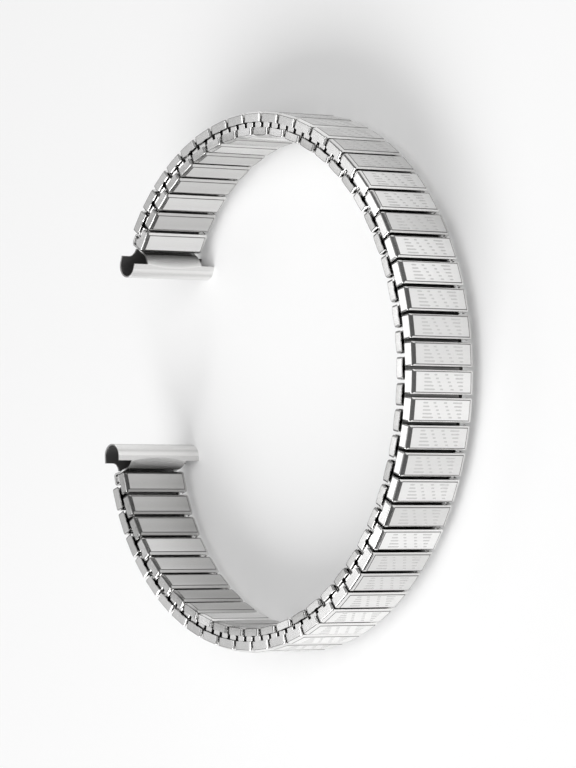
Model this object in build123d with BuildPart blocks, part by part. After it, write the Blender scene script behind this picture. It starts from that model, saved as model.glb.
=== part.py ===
"""Expansion watch band, lying on its edge as an open C.

Two staggered rows of hollow links are tied together at both edges by small flat U-bows.
Leaf springs inside the links press the bows flat, so the band springs back after a stretch.
The outer row wears folded caps, and a hooded end fitting closes each end.

Axes: +Z runs across the band's width, from the lower edge to the upper one. +X points from
the open side to the middle link. The origin is on the floor under the middle of the box.
Each link is made once in its own frame: X along the band, Y outward from the wrist, Z across.
"""

from build123d import *
from math import cos, pi, radians, sin
import os

# The chain of links
pitch = 3.0
side_links = 24
stretch_links = 3
mean_turn = 6.4
oval_turn = 0.8
corner_turn = 0.3

# The rows
link_width = 9.2
row_gap = 0.64
cap_row_height = 1.23
inner_row_height = 1.08

# The folded cap
cap_length = 2.84
cap_sheet = 0.13
cap_edge_run = 0.2
cap_edge_rise = 0.14
cap_end_run = 0.45
cap_end_rise = 0.2
cap_corner = 0.24
cap_side_depth = 0.6

# The sleeve under the cap
sleeve_sheet = 0.12
sleeve_seat = 0.02

# The inner link, a sleeve that closes its own ends
inner_length = 2.56
inner_sheet = 0.13
inner_edge_run = 0.22
inner_edge_rise = 0.14
inner_end_run = 0.45
inner_end_rise = 0.15
inner_corner = 0.26
inner_side_depth = 0.3

# The U-bow
bow_sheet = 0.22
bow_width = 1.03
bow_bend = 0.15
leg_width = 0.64
leg_length = 2.4
bow_play = 0.04

# The leaf spring
spring_sheet = 0.08
spring_play = 0.04
spring_seat = 0.01
spring_arch_span = 2.6
spring_arch_rise = 0.26

# The end fitting
lug_width = 12.0
hood_sheet = 0.3
hood_radius = 1.4
hood_back = 1.7
hood_drop = 1.28
hood_tilt = 10.0
hood_outer_leg = 1.1
hood_inner_leg = 1.15
tongue_width = 8.1
tongue_crease = 0.4
knee_width = 7.8
knee_back = 0.2
knee_drop = 1.1
tab_sheet = 0.25
tab_start = -0.12
tab_end = 1.45
tab_low = 0.3
tab_high = 1.36
tab_corner_share = 0.33

overrun = 0.5

# Worked out from the sizes above
row_low = row_gap / 2
cap_top = row_low + cap_row_height
inner_face = -row_low - inner_row_height
sleeve_end = link_width / 2 - cap_sheet - cap_end_run - sleeve_seat
sleeve_top = cap_top - cap_sheet - sleeve_seat
sleeve_length = cap_length - 2 * (cap_sheet + sleeve_seat)
outer_spring_base = sleeve_top - sleeve_sheet - spring_seat
inner_spring_base = inner_face + inner_sheet + spring_seat
outer_leg = (row_low + sleeve_sheet + outer_spring_base - spring_sheet) / 2
inner_leg = (-row_low - inner_sheet + inner_spring_base + spring_sheet) / 2
station_step = pitch / 4


def bevelled_block(length, width, base, crown, edge, end, corner):
    """A block on the band's centre line, bevelled round its crown, with cut corners.

    edge and end are the (run, rise) of the bevels beside the long sides and the ends.
    The crown may lie above the base or below it.
    """
    side = 1 if crown > base else -1
    with BuildPart() as block:
        with BuildSketch(Plane.XY):
            with BuildLine():
                shoulder = (length / 2, crown - side * edge[1])
                shelf = (length / 2 - edge[0], crown)
                Polyline(
                    (-length / 2, base),
                    (length / 2, base),
                    shoulder,
                    shelf,
                    (-shelf[0], shelf[1]),
                    (-shoulder[0], shoulder[1]),
                    close=True,
                )
            make_face()
        extrude(amount=width / 2, both=True)
        with BuildSketch(Plane.YZ):
            with BuildLine():
                shoulder = (crown - side * end[1], width / 2)
                shelf = (crown, width / 2 - end[0])
                Polyline(
                    (base, -width / 2),
                    (base, width / 2),
                    shoulder,
                    shelf,
                    (shelf[0], -shelf[1]),
                    (shoulder[0], -shoulder[1]),
                    close=True,
                )
            make_face()
        extrude(amount=length, both=True, mode=Mode.INTERSECT)
        with BuildSketch(Plane.XZ.offset(-max(base, crown))):
            Rectangle(length, width)
            chamfer(vertices(), corner)
        extrude(amount=abs(crown - base), mode=Mode.INTERSECT)
    return block.part


cap_edge = (cap_edge_run, cap_edge_rise)
cap_end = (cap_end_run, cap_end_rise)
cap_outside = bevelled_block(
    cap_length, link_width, row_low, cap_top, cap_edge, cap_end, cap_corner
)
cap_inside = bevelled_block(
    cap_length - 2 * cap_sheet,
    link_width - 2 * cap_sheet,
    row_low - overrun,
    cap_top - cap_sheet,
    cap_edge,
    cap_end,
    cap_corner,
)

# The cap: its long sides reach part of the way down, and its end flaps reach all the way
with BuildPart() as cap:
    add(cap_outside)
    add(cap_inside, mode=Mode.SUBTRACT)
    with BuildSketch(Plane.XZ.offset(-(cap_top - cap_side_depth))):
        Rectangle(cap_length + 2 * overrun, link_width - 2 * cap_sheet)
    extrude(amount=cap_row_height, mode=Mode.SUBTRACT)

# The sleeve under the cap: a flattened tube, open at both ends
with BuildPart() as outer_sleeve:
    with BuildSketch(Plane.XY):
        with BuildLine():
            Polyline(
                (-sleeve_length / 2, row_low),
                (sleeve_length / 2, row_low),
                (sleeve_length / 2, sleeve_top - cap_edge_rise),
                (sleeve_length / 2 - cap_edge_run, sleeve_top),
                (cap_edge_run - sleeve_length / 2, sleeve_top),
                (-sleeve_length / 2, sleeve_top - cap_edge_rise),
                close=True,
            )
        make_face()
        offset(amount=-sleeve_sheet, kind=Kind.INTERSECTION, mode=Mode.SUBTRACT)
    extrude(amount=sleeve_end, both=True)

inner_edge = (inner_edge_run, inner_edge_rise)
inner_end = (inner_end_run, inner_end_rise)
inner_outside = bevelled_block(
    inner_length, link_width, -row_low, inner_face, inner_edge, inner_end, inner_corner
)
inner_inside = bevelled_block(
    inner_length - 2 * inner_sheet,
    link_width - 2 * inner_sheet,
    -row_low - inner_sheet,
    inner_face + inner_sheet,
    inner_edge,
    inner_end,
    inner_corner,
)
slot_length = link_width / 2 - inner_sheet - sleeve_end

# The inner link: a flattened tube whose face runs on at both ends and folds up to a flap.
# Between the tube and each flap it stands open to the row gap and the sides, for the bows.
with BuildPart() as inner_sleeve:
    add(inner_outside)
    add(inner_inside, mode=Mode.SUBTRACT)
    with BuildSketch(Plane.XZ.offset(row_low - overrun)):
        for end in (1, -1):
            with Locations((0, end * (sleeve_end + slot_length / 2))):
                Rectangle(inner_length + 2 * overrun, slot_length)
    extrude(amount=overrun + inner_row_height - inner_side_depth, mode=Mode.SUBTRACT)

spring_length = inner_length - 2 * (inner_sheet + inner_edge_run + spring_play)
spring_reach = sleeve_end - 2 * spring_play


def leaf_spring(base, side):
    """A leaf spring pressed against the wall at base, arched towards the bows in its middle."""
    bow_side = base - side * spring_sheet
    arch = base - side * spring_arch_rise
    with BuildPart() as spring:
        with BuildSketch(Plane.YZ):
            with BuildLine():
                Line((base, -spring_reach), (base, -spring_arch_span / 2))
                ThreePointArc((base, -spring_arch_span / 2), (arch, 0), (base, spring_arch_span / 2))
                Line((base, spring_arch_span / 2), (base, spring_reach))
                Line((base, spring_reach), (bow_side, spring_reach))
                Line((bow_side, spring_reach), (bow_side, spring_arch_span / 2))
                ThreePointArc(
                    (bow_side, spring_arch_span / 2),
                    (arch - side * spring_sheet, 0),
                    (bow_side, -spring_arch_span / 2),
                )
                Line((bow_side, -spring_arch_span / 2), (bow_side, -spring_reach))
                Line((bow_side, -spring_reach), (base, -spring_reach))
            make_face()
        extrude(amount=spring_length / 2, both=True)
    return spring.part


outer_spring = leaf_spring(outer_spring_base, 1)
inner_spring = leaf_spring(inner_spring_base, -1)

web_inside = sleeve_end + bow_play
web_outside = web_inside + bow_sheet
beside_leg = (leg_width + overrun) / 2

# The U-bow of the upper edge: a flat strip bent to a U, with one leg in each row
with BuildPart() as upper_bow:
    with BuildSketch(Plane.YZ):
        with BuildLine():
            Polyline(
                (outer_leg + bow_sheet / 2, web_inside - leg_length),
                (outer_leg + bow_sheet / 2, web_outside),
                (inner_leg - bow_sheet / 2, web_outside),
                (inner_leg - bow_sheet / 2, web_inside - leg_length),
                (inner_leg + bow_sheet / 2, web_inside - leg_length),
                (inner_leg + bow_sheet / 2, web_inside),
                (outer_leg - bow_sheet / 2, web_inside),
                (outer_leg - bow_sheet / 2, web_inside - leg_length),
                close=True,
            )
        make_face()
        chamfer(vertices().group_by(Axis.Y)[-1], bow_bend)
    extrude(amount=bow_width / 2, both=True)
    with BuildSketch(Plane.XZ.offset(-outer_leg - overrun)):
        for side in (1, -1):
            with Locations((side * beside_leg, web_inside - leg_length / 2 - overrun / 2)):
                Rectangle(overrun, leg_length + overrun)
    extrude(amount=outer_leg - inner_leg + 2 * overrun, mode=Mode.SUBTRACT)
    with BuildSketch(Plane.XY.offset(web_inside - bow_play)):
        for side in (1, -1):
            with Locations((side * beside_leg, (row_low + outer_leg + overrun) / 2 - bow_play)):
                Rectangle(overrun, outer_leg + overrun - row_low)
            with Locations((side * beside_leg, (inner_leg - overrun - row_low) / 2 + bow_play)):
                Rectangle(overrun, -row_low - inner_leg + overrun)
    extrude(amount=bow_sheet + 2 * bow_play, mode=Mode.SUBTRACT)

with BuildPart() as lower_bow:
    add(upper_bow.part)
    mirror(about=Plane.XY, mode=Mode.REPLACE)

hood_turn = radians(hood_tilt)
hood_plane = Plane(
    origin=(-hood_back, -hood_drop, 0), x_dir=(cos(hood_turn), sin(hood_turn), 0), z_dir=(0, 0, 1)
)
hood_middle = hood_radius - hood_sheet / 2
root_point = hood_plane.from_local_coords((hood_inner_leg, -hood_middle, 0))
root_plane = Plane(
    origin=root_point, x_dir=(0, 0, 1), z_dir=(-sin(hood_turn), cos(hood_turn), 0)
)
knee_plane = Plane(origin=(-knee_back, -knee_drop, 0), x_dir=(0, 0, 1), z_dir=(0, 1, 0))
tab_plane = Plane(origin=(tab_start + tab_sheet / 2, tab_low, 0), x_dir=(0, 0, 1), z_dir=(0, 1, 0))

# The end fitting: one sheet, curled to a hood for the spring bar, creased to a narrower
# kneed tongue and curled again to a flat tab that takes the last bows
with BuildPart() as fitting:
    with BuildSketch(hood_plane):
        Circle(hood_radius)
        Circle(hood_radius - hood_sheet, mode=Mode.SUBTRACT)
        with Locations((hood_radius / 2, 0)):
            Rectangle(hood_radius, 2 * hood_radius, mode=Mode.SUBTRACT)
        with Locations((hood_outer_leg / 2, hood_middle)):
            Rectangle(hood_outer_leg, hood_sheet)
        with Locations((hood_inner_leg / 2, -hood_middle)):
            Rectangle(hood_inner_leg, hood_sheet)
    extrude(amount=lug_width / 2, both=True)
    with BuildSketch(root_plane):
        with BuildLine():
            toward_crown = -tongue_crease
            ThreePointArc((-tongue_width / 2, 0), (0, toward_crown), (tongue_width / 2, 0))
            Line((tongue_width / 2, 0), (tongue_width / 2, -hood_sheet))
            ThreePointArc(
                (tongue_width / 2, -hood_sheet),
                (0, toward_crown - hood_sheet),
                (-tongue_width / 2, -hood_sheet),
            )
            Line((-tongue_width / 2, -hood_sheet), (-tongue_width / 2, 0))
        make_face()
    for plane, width in ((knee_plane, knee_width), (tab_plane, 2 * sleeve_end)):
        with BuildSketch(plane):
            with BuildLine():
                Polyline(
                    (-width / 2, tab_sheet / 2),
                    (width / 2, tab_sheet / 2),
                    (width / 2, -tab_sheet / 2),
                    (-width / 2, -tab_sheet / 2),
                    close=True,
                )
            make_face()
    loft(ruled=True)
    with BuildSketch(Plane.XY):
        with Locations(((tab_start + tab_end) / 2, (tab_low + tab_high) / 2)):
            Rectangle(tab_end - tab_start, tab_high - tab_low)
        fillet(vertices().group_by(Axis.X)[-1], tab_corner_share * (tab_high - tab_low))
        offset(amount=-tab_sheet, mode=Mode.SUBTRACT)
    extrude(amount=sleeve_end, both=True)

with BuildPart() as mirrored_fitting:
    add(fitting.part)
    mirror(about=Plane.YZ, mode=Mode.REPLACE)


def station_turn(steps):
    """Degrees that the band turns at the station this many stations out from the middle."""
    way_round = pi * (2 * steps + 1) / (4 * side_links + 4)
    oval = oval_turn * cos(way_round)
    corner = corner_turn * cos(2 * way_round)
    return (mean_turn - oval - corner) / 2


def walk_out(start_x):
    """Centres and headings of the links of one side, from the middle link to its end fitting.

    A link runs straight between its stations, and the band turns at each station. The places
    are for the side with y below 0. A heading is the link's X direction, in degrees.
    """
    x, y, heading = start_x, 0.0, -90.0
    places = [(x, y, heading)]
    for step in range(2 * side_links + 2):
        x += station_step * cos(radians(heading))
        y += station_step * sin(radians(heading))
        heading -= station_turn(step)
        x += station_step * cos(radians(heading))
        y += station_step * sin(radians(heading))
        places.append((x, y, heading))
    return places


def top_corner_x(place):
    """The smallest x that a cap's top reaches at this place."""
    x, _, heading = place
    turn = radians(heading)
    return x - cap_top * sin(turn) - (cap_length / 2 - cap_edge_run) * abs(cos(turn))


unplaced = walk_out(0.0)
left_reach = min(top_corner_x(place) for place in unplaced[2 : -1 : 2])
places = walk_out(-(left_reach + cap_top) / 2)


def link_location(number, side):
    """The frame of link number on the side whose y has this sign."""
    x, y, heading = places[number]
    if side > 0:
        return Location((x, -y, lug_width / 2), (0, 0, 180 - heading))
    return Location((x, y, lug_width / 2), (0, 0, heading))


def bow_location(number, side):
    """The frame of the station before link number, turned half way between its two links."""
    x, y, heading = places[number]
    before = places[number - 1][2]
    middle = (heading + before) / 2
    station_x = x - station_step * cos(radians(heading))
    station_y = y - station_step * sin(radians(heading))
    if side > 0:
        return Location((station_x, -station_y, lug_width / 2), (0, 0, 180 - middle))
    return Location((station_x, station_y, lug_width / 2), (0, 0, middle))


def write_node(name, pieces):
    """Write a node from (solid, its frame) pairs."""
    with BuildPart() as node:
        for solid, frame in pieces:
            with Locations(frame):
                add(solid, clean=False)
    node.part.label = name
    export_step(node.part, f"parts/{name}.step")


def bows(number, side):
    """The two bows of the station before link number."""
    frame = bow_location(number, side)
    return [(upper_bow.part, frame), (lower_bow.part, frame)]


def inner_link(number, side):
    """The inner link at a place, with its leaf spring."""
    frame = link_location(number, side)
    return [(inner_sleeve.part, frame), (inner_spring, frame)]


def capped_link(number, side):
    """The capped link at a place, with its sleeve and leaf spring."""
    frame = link_location(number, side)
    return [(cap.part, frame), (outer_sleeve.part, frame), (outer_spring, frame)]


os.makedirs("parts", exist_ok=True)

middle_frame = link_location(0, -1)
write_node("middle_cap", [(cap.part, middle_frame)])
write_node("middle_sleeve", [(outer_sleeve.part, middle_frame), (outer_spring, middle_frame)])

end_number = 2 * side_links + 2
for clock, side, end_part in ((12, 1, fitting.part), (6, -1, mirrored_fitting.part)):
    for count in range(1, side_links + 1):
        number = 2 * count
        pieces = inner_link(number - 1, side) + bows(number, side) + capped_link(number, side)
        if count > side_links - stretch_links:
            write_node(f"bow_pair_{clock}_{count:02d}", bows(number - 1, side))
        else:
            pieces += bows(number - 1, side)
        write_node(f"link_pair_{clock}_{count:02d}", pieces)
    last_pieces = bows(end_number - 1, side) + inner_link(end_number - 1, side) + bows(end_number, side)
    write_node(f"end_inner_link_{clock}", last_pieces)
    write_node(f"end_fitting_{clock}", [(end_part, link_location(end_number, side))])
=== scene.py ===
"""A ladies' expansion watch band, dressed and lit for a studio picture.

The band lies on its edge as an open C. Its capped links, inner links, U-bows and leaf springs
are made once each as detailed sheet-metal forms and set out along the band's own curve.
Lengths in the classes are millimetres; they become metres where a mesh is made.
"""

import logging
import math
from dataclasses import dataclass, field
from enum import Enum
from typing import Optional, Sequence, Union

import bmesh
import bpy
from mathutils import Matrix, Vector


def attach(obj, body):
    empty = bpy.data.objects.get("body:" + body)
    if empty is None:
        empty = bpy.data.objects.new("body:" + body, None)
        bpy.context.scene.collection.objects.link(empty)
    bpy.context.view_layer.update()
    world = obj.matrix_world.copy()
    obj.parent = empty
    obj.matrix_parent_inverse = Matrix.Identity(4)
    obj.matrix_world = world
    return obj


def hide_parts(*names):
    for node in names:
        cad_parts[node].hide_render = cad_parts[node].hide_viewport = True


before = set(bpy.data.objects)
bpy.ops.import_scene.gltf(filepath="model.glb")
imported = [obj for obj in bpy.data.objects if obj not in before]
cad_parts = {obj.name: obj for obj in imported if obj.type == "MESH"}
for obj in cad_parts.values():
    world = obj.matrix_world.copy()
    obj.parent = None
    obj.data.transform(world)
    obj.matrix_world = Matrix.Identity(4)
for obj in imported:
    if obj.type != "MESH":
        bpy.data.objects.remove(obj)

MM = 0.001
WELD_METRES = 1e-7
SOFT_FOLD_DEGREES = 42.0
EASED_EDGE_DEGREES = 60.0
EXPONENT_LIMIT = 40.0
MARK_DEPTH = 0.4
BUMP_METRES = 0.00002
RUBBED_GAIN = 1.12
BRIGHTEST = 0.97
# Painted shade on the end fittings blends the colour toward this grey and lowers the metal by this share.
PAINTED_SHADE_GREY = (0.035, 0.034, 0.033)
PAINTED_SHADE_METAL_LOSS = 0.6
WAVER = 0.12
LOG = logging.getLogger("band")
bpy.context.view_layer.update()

Point = tuple[float, float, float]
Loop = list[tuple[float, float]]
Setting = Union[float, Sequence[float], bpy.types.NodeSocket]


class Arm(Enum):
    """The two arms of the band, by the watch's clock face; the value is the sign of Y."""

    TWELVE = 1
    SIX = -1

    @property
    def clock(self) -> int:
        """The hour that names the arm's nodes."""
        return 12 if self is Arm.TWELVE else 6


class Shading(Enum):
    """How a mesh's faces meet the light."""

    FLAT = "flat"
    FOLDED = "folded"


# Mesh helpers.


def make_mesh(
    name: str,
    points: Sequence[Point],
    faces: Sequence[Sequence[int]],
    shading: Shading,
) -> bpy.types.Mesh:
    """Make a mesh from millimetre points, with its normals turned outward.

    Args:
        name: Name of the mesh.
        points: Corner points in millimetres.
        faces: Corner numbers of each face.
        shading: Whether the faces are smoothed over soft folds.

    Returns:
        The finished mesh, in metres.
    """
    mesh = bpy.data.meshes.new(name)
    mesh.from_pydata([(x * MM, y * MM, z * MM) for x, y, z in points], [], [list(face) for face in faces])
    work = bmesh.new()
    work.from_mesh(mesh)
    bmesh.ops.remove_doubles(work, verts=work.verts, dist=WELD_METRES)
    bmesh.ops.recalc_face_normals(work, faces=work.faces)
    mark_folds(work)
    for face in work.faces:
        face.smooth = shading is Shading.FOLDED
    work.to_mesh(mesh)
    work.free()
    mesh.update()
    return mesh


def mark_folds(work: bmesh.types.BMesh) -> None:
    """Keep the edges sharp where two faces meet at more than a soft fold's angle.

    Args:
        work: The mesh that is being made.
    """
    limit = math.radians(SOFT_FOLD_DEGREES)
    for edge in work.edges:
        edge.smooth = len(edge.link_faces) != 2 or edge.calc_face_angle(0.0) < limit


def bridge(faces: list[list[int]], first: Sequence[int], second: Sequence[int]) -> None:
    """Join two closed rings of point numbers with quads.

    Args:
        faces: List that the quads are added to.
        first: Point numbers of one ring.
        second: Point numbers of the other ring, in step with the first.
    """
    count = len(first)
    for index in range(count):
        after = (index + 1) % count
        faces.append([first[index], first[after], second[after], second[index]])


def spaced(start: float, end: float, count: int) -> list[float]:
    """Evenly spaced values from start to end, both included."""
    return [start + (end - start) * index / (count - 1) for index in range(count)]


def mirrored(values: Sequence[float]) -> list[float]:
    """The values with their negatives, sorted and each kept once."""
    return sorted({round(sign * value, 5) for value in values for sign in (1, -1)})


# The band's curve.


@dataclass(frozen=True)
class Place:
    """Where a link or a pair of bows sits: a point on the band's middle line and a turn."""

    x: float
    y: float
    turn: float

    def matrix(self, height: float) -> Matrix:
        """The place as a world matrix in metres, at this height in millimetres."""
        spot = Matrix.Translation((self.x * MM, self.y * MM, height * MM))
        return spot @ Matrix.Rotation(math.radians(self.turn), 4, "Z")


@dataclass
class BandCurve:
    """The open C that the links follow, the same on both arms."""

    pitch: float = 3.0
    side_links: int = 24
    mean_turn: float = 6.4
    oval_turn: float = 0.8
    corner_turn: float = 0.3
    middle_x: float = 24.856646

    def __post_init__(self) -> None:
        """Walk the curve once."""
        self.walked = self._walk()

    @property
    def last(self) -> int:
        """Number of the place of an end fitting."""
        return 2 * self.side_links + 2

    def _turn(self, step: int) -> float:
        """Degrees turned at the station after this many half pitches."""
        way = math.pi * (2 * step + 1) / (4 * self.side_links + 4)
        return (self.mean_turn - self.oval_turn * math.cos(way) - self.corner_turn * math.cos(2 * way)) / 2

    def _walk(self) -> list[tuple[float, float, float]]:
        """Places from the middle link to the end fitting, on the side with y below zero.

        Returns:
            Each place's x, y and heading in degrees.
        """
        x, y, heading = self.middle_x, 0.0, -90.0
        step_length = self.pitch / 4
        walked = [(x, y, heading)]
        for step in range(self.last):
            x += step_length * math.cos(math.radians(heading))
            y += step_length * math.sin(math.radians(heading))
            heading -= self._turn(step)
            x += step_length * math.cos(math.radians(heading))
            y += step_length * math.sin(math.radians(heading))
            walked.append((x, y, heading))
        return walked

    def link(self, number: int, arm: Arm) -> Place:
        """The place of a link, counted in half pitches from the middle link.

        Args:
            number: Even for capped links, odd for inner links.
            arm: The arm that it belongs to.

        Returns:
            Its place.
        """
        x, y, heading = self.walked[number]
        if arm is Arm.TWELVE:
            return Place(x, -y, 180 - heading)
        return Place(x, y, heading)

    def station(self, number: int, arm: Arm) -> Place:
        """The place of the bows just before a link, turned half way between both links.

        Args:
            number: The link's number, in half pitches from the middle link.
            arm: The arm that it belongs to.

        Returns:
            Their place.
        """
        x, y, heading = self.walked[number]
        middle = (heading + self.walked[number - 1][2]) / 2
        step_length = self.pitch / 4
        x -= step_length * math.cos(math.radians(heading))
        y -= step_length * math.sin(math.radians(heading))
        if arm is Arm.TWELVE:
            return Place(x, -y, 180 - middle)
        return Place(x, y, middle)


# The folded links.


@dataclass(frozen=True)
class EngineTurning:
    """Rows of short grooves rolled into a cap, left out along three slanting bands."""

    rows: int = 5
    row_step: float = 0.41
    groove_half_width: float = 0.125
    depth: float = 0.05
    start: float = 2.95
    reach: float = 6.1
    margin: float = 0.05
    columns: int = 84
    lead: float = 0.04
    fade: float = 0.12
    slant: float = 0.215
    ends: tuple[tuple[float, float, bool, bool], ...] = (
        (0.10, 0.84, False, True),
        (1.60, 2.06, True, True),
        (3.14, 3.62, True, True),
        (4.50, 5.86, True, False),
    )

    def row_places(self) -> list[float]:
        """Distance of each row from the cap's middle line, along the band."""
        return [(row - (self.rows - 1) / 2) * self.row_step for row in range(self.rows)]

    def along_lines(self) -> list[float]:
        """Grid lines along the band that the grooves need."""
        shares = (-1.0, -0.72, -0.36, 0.0, 0.36, 0.72, 1.0)
        return [place + share * self.groove_half_width for place in self.row_places() for share in shares]

    def across_lines(self) -> list[float]:
        """Grid lines across the band that the grooves need."""
        return spaced(self.start + self.margin, self.start - self.reach, self.columns)

    def sink(self, along: float, across: float) -> float:
        """How deep the surface lies at a point of the cap's face.

        Args:
            along: Distance from the cap's middle along the band.
            across: Distance from its middle across the band.

        Returns:
            The depth in millimetres, with 0 outside the grooves.
        """
        reach = self.start - across
        for row, place in enumerate(self.row_places()):
            off = abs(along - place) / self.groove_half_width
            if off >= 1.0:
                continue
            for begin, end, slants_in, slants_out in self.ends:
                first = begin + (self.slant * row if slants_in else 0.0)
                last = end + (self.slant * row if slants_out else 0.0)
                inside = min(reach - first, last - reach)
                if inside <= -self.lead:
                    continue
                edge = min(1.0, (inside + self.lead) / self.fade)
                return self.depth * edge * (0.5 + 0.5 * math.cos(math.pi * off))
        return 0.0


@dataclass
class FoldedTray:
    """A link's sheet: a face with bevels all round, folded sides and closed end flaps.

    The face looks along +Y when side is 1, and along -Y when it is -1.
    """

    name: str
    half_length: float
    half_width: float
    face: float
    side: int
    edge_run: float
    edge_rise: float
    end_run: float
    end_rise: float
    corner: float
    sheet: float
    flap_low: float
    side_depth: float
    tube_half: float
    tube_depth: float
    crown: float = 0.0
    fold: float = 0.06
    softness: float = 0.022
    fold_lines: tuple[float, ...] = (0.0, 0.008, 0.025)
    bevel_lines: tuple[float, ...] = (0.05, 0.02, 0.0, -0.02, -0.05)
    notch_line: float = 0.012
    least_step: float = 0.0035
    wall_start: float = 0.03
    flap_margin: float = 0.02
    # Half width of the painted shade line along each crease.
    crease_half: float = 0.037
    groove_share: float = 0.3
    skin_share: float = 0.7
    turning: Optional[EngineTurning] = None

    def _drop(self, distance: float, run: float, rise: float) -> float:
        """Fall of the surface at a distance from the outer edge, with soft folds.

        Args:
            distance: Distance from the outer edge.
            run: Width of the bevel.
            rise: Height of the bevel.

        Returns:
            How far the surface lies below the flat face.
        """
        soft = self.softness
        bevel = rise / run * soft * math.log1p(math.exp(min(EXPONENT_LIMIT, (run - distance) / soft)))
        round_over = 0.0
        if distance < self.fold:
            round_over = self.fold - math.sqrt(max(0.0, self.fold**2 - (self.fold - distance) ** 2))
        return min(bevel, rise) + round_over

    def _grid_lines(self) -> tuple[list[float], list[float]]:
        """Grid lines along and across the band, close together at the folds.

        Returns:
            The lines along the band, and those across it.
        """
        near = (*self.fold_lines, self.fold)
        along = [self.half_length - value for value in near]
        along += [self.half_length - self.edge_run + value for value in self.bevel_lines]
        across = [self.half_width - value for value in near]
        across += [self.half_width - self.end_run + value for value in self.bevel_lines]
        across += [self.half_width - self.corner]
        across += [self.tube_half - self.notch_line, self.tube_half + self.notch_line]
        along += [self.half_length - self.corner]
        along += [0.0, self.half_length * 0.45]
        across += [0.0, self.half_width * 0.3, self.half_width * 0.6]
        rows, columns = mirrored(along), mirrored(across)
        if self.turning:
            rows = sorted(rows + self.turning.along_lines())
            columns = sorted(columns + self.turning.across_lines())
        return self._thinned(rows), self._thinned(columns)

    def _thinned(self, values: list[float]) -> list[float]:
        """The values without near repeats.

        Args:
            values: Sorted values.

        Returns:
            Those that are kept, the last one always.
        """
        kept = [values[0]]
        for value in values[1:]:
            if value - kept[-1] > self.least_step:
                kept.append(value)
        kept[-1] = values[-1]
        return kept

    def _plan(self, along: float, across: float) -> tuple[float, float]:
        """Move a grid point so that the plan's corners come out round.

        Args:
            along: The point's place along the band.
            across: Its place across the band.

        Returns:
            Its new place, along and across.
        """
        in_x = abs(along) - (self.half_length - self.corner)
        in_z = abs(across) - (self.half_width - self.corner)
        if in_x <= 0 or in_z <= 0:
            return along, across
        factor = max(in_x, in_z) / math.hypot(in_x, in_z)
        new_x = self.half_length - self.corner + in_x * factor
        new_z = self.half_width - self.corner + in_z * factor
        return math.copysign(new_x, along), math.copysign(new_z, across)

    def _depth(self, along: float, across: float) -> float:
        """Depth of the face below its crown at a grid point.

        Args:
            along: The point's place along the band.
            across: Its place across the band.

        Returns:
            The depth in millimetres.
        """
        side_fall = self._drop(self.half_length - abs(along), self.edge_run, self.edge_rise)
        end_fall = self._drop(self.half_width - abs(across), self.end_run, self.end_rise)
        # The fourth powers round the mitre where two bevels meet.
        fall = (side_fall**4 + end_fall**4) ** 0.25
        fall += self.crown * (along / self.half_length) ** 2
        if self.turning:
            fall += self.turning.sink(along, across)
        return fall

    def _wall_depth(self, across: float) -> float:
        """How far down the wall reaches, by its place along the outline.

        Args:
            across: Place across the band.

        Returns:
            The depth of the wall's edge below the face.
        """
        if abs(across) > self.half_width - self.sheet - self.flap_margin:
            return self.flap_low
        if abs(across) < self.tube_half:
            return self.tube_depth
        return self.side_depth

    def build(self) -> bpy.types.Mesh:
        """Make the sheet as a closed solid.

        Returns:
            The link's mesh in its own frame.
        """
        rows, columns = self._grid_lines()
        outer: list[Point] = []
        for along in rows:
            for across in columns:
                x, z = self._plan(along, across)
                outer.append((x, self.face - self.side * self._depth(along, across), z))
        width = len(columns)
        skin = [
            [i * width + j, i * width + j + 1, (i + 1) * width + j + 1, (i + 1) * width + j]
            for i in range(len(rows) - 1)
            for j in range(width - 1)
        ]
        rim = list(range(width))
        rim += [i * width + width - 1 for i in range(1, len(rows))]
        rim += [(len(rows) - 1) * width + j for j in range(width - 2, -1, -1)]
        rim += [i * width for i in range(len(rows) - 2, 0, -1)]
        neck: list[int] = []
        low: list[int] = []
        for number in rim:
            x, y, z = outer[number]
            neck.append(len(outer))
            outer.append((x, y - self.side * self.wall_start, z))
        for number in rim:
            x, y, z = outer[number]
            low.append(len(outer))
            outer.append((x, self.face - self.side * self._wall_depth(z), z))
        bridge(skin, rim, neck)
        bridge(skin, neck, low)
        mesh = make_mesh(self.name + "_skin", outer, skin, Shading.FOLDED)
        solid = thicken(mesh, self.name, self.sheet, self.side)
        self._mark_lines(solid)
        return solid

    def _mark_lines(self, solid: bpy.types.Mesh) -> None:
        """Give the creases round the face the second material, a painted shade line, and the grooves the
        third, painted shade in their recess.

        Args:
            solid: The finished sheet.
        """
        for face in solid.polygons:
            along, depth, across = face.center / MM
            if (self.face - depth) * self.side > self.sheet * self.skin_share:
                continue
            from_side = self.half_length - abs(along) - self.edge_run
            from_end = self.half_width - abs(across) - self.end_run
            # Faces along the crease between face and bevel get painted shade.
            if abs(min(from_side, from_end)) < self.crease_half:
                face.material_index = 1
            # Faces deep in the grooves get the groove finish, whose darker tone is painted shade.
            elif self.turning and self.turning.sink(along, across) > self.turning.depth * self.groove_share:
                face.material_index = 2


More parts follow.
